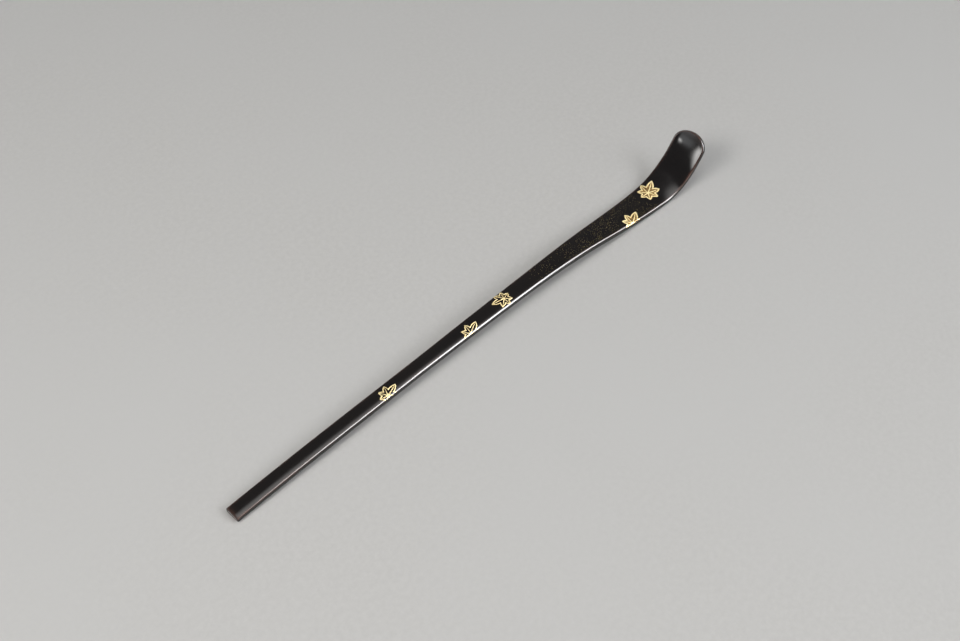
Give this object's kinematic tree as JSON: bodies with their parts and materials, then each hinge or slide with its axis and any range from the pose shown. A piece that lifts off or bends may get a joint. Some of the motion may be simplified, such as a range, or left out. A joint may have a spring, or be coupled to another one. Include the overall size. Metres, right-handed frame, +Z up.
{
  "type": "tea scoop",
  "caption": "Slim arched tea scoop: wood under black lacquer, with a rounded upturned bowl, raised gold line-drawn maple leaves and a scatter of gold dust on the neck.",
  "frame": {"origin": "middle of the bounding box, on the surface that the scoop rests on", "axes": "+X from the handle's cut end to the bowl's tip, +Y towards the left edge, +Z up"},
  "size_m": [0.1766, 0.011, 0.015],
  "materials": {
    "wood": "carved straight-grained wood, sealed under the coats",
    "ground": "hard, flatted ground of clay powder bound with lacquer",
    "black_lacquer": "polished black lacquer, a little brown where it is thin at the edges",
    "gold_line": "fine pale gold powder on raised lines, burnished",
    "gold_powder": "coarse gold flakes scattered in the lacquer"
  },
  "bodies": {
    "root": {"wood_core": "wood", "ground_coat": "ground", "black_lacquer_coat": "black_lacquer", "gold_dust": "gold_powder", "leaf_1_handle_edge": "gold_line", "leaf_2_waist_edge": "gold_line", "leaf_3_waist_middle": "gold_line", "leaf_4_neck_edge": "gold_line", "leaf_5_heel": "gold_line"}
  },
  "joints": []
}
